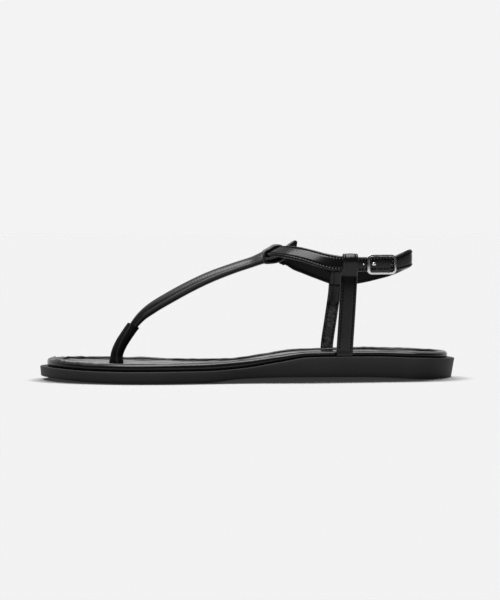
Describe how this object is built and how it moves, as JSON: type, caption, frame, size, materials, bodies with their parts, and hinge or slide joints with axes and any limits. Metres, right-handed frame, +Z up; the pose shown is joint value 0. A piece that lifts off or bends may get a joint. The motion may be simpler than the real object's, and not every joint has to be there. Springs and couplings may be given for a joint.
{
  "type": "sandal",
  "caption": "Flat black thong sandal with a folded T strap, a buckled ankle strap held by side straps, a padded insole and a moulded rubber sole.",
  "frame": {"origin": "middle of the sandal's box, on the floor that it stands on", "axes": "+X towards the heel along the sole, +Y towards the inner side of the foot, +Z up"},
  "size_m": [0.25, 0.0912, 0.0825],
  "materials": {
    "moulded_rubber": "matte moulded rubber",
    "padded_leather": "glossy padded synthetic leather",
    "strap_leather": "semi-gloss synthetic leather",
    "sleeve_rubber": "matte soft rubber",
    "polished_steel": "polished plated steel"
  },
  "bodies": {
    "root": {"outsole": "moulded_rubber", "insole_pad": "padded_leather", "upper": "strap_leather", "toe_post_sleeve": "sleeve_rubber", "buckle_frame": "polished_steel", "buckle_prong": "polished_steel"}
  },
  "joints": []
}
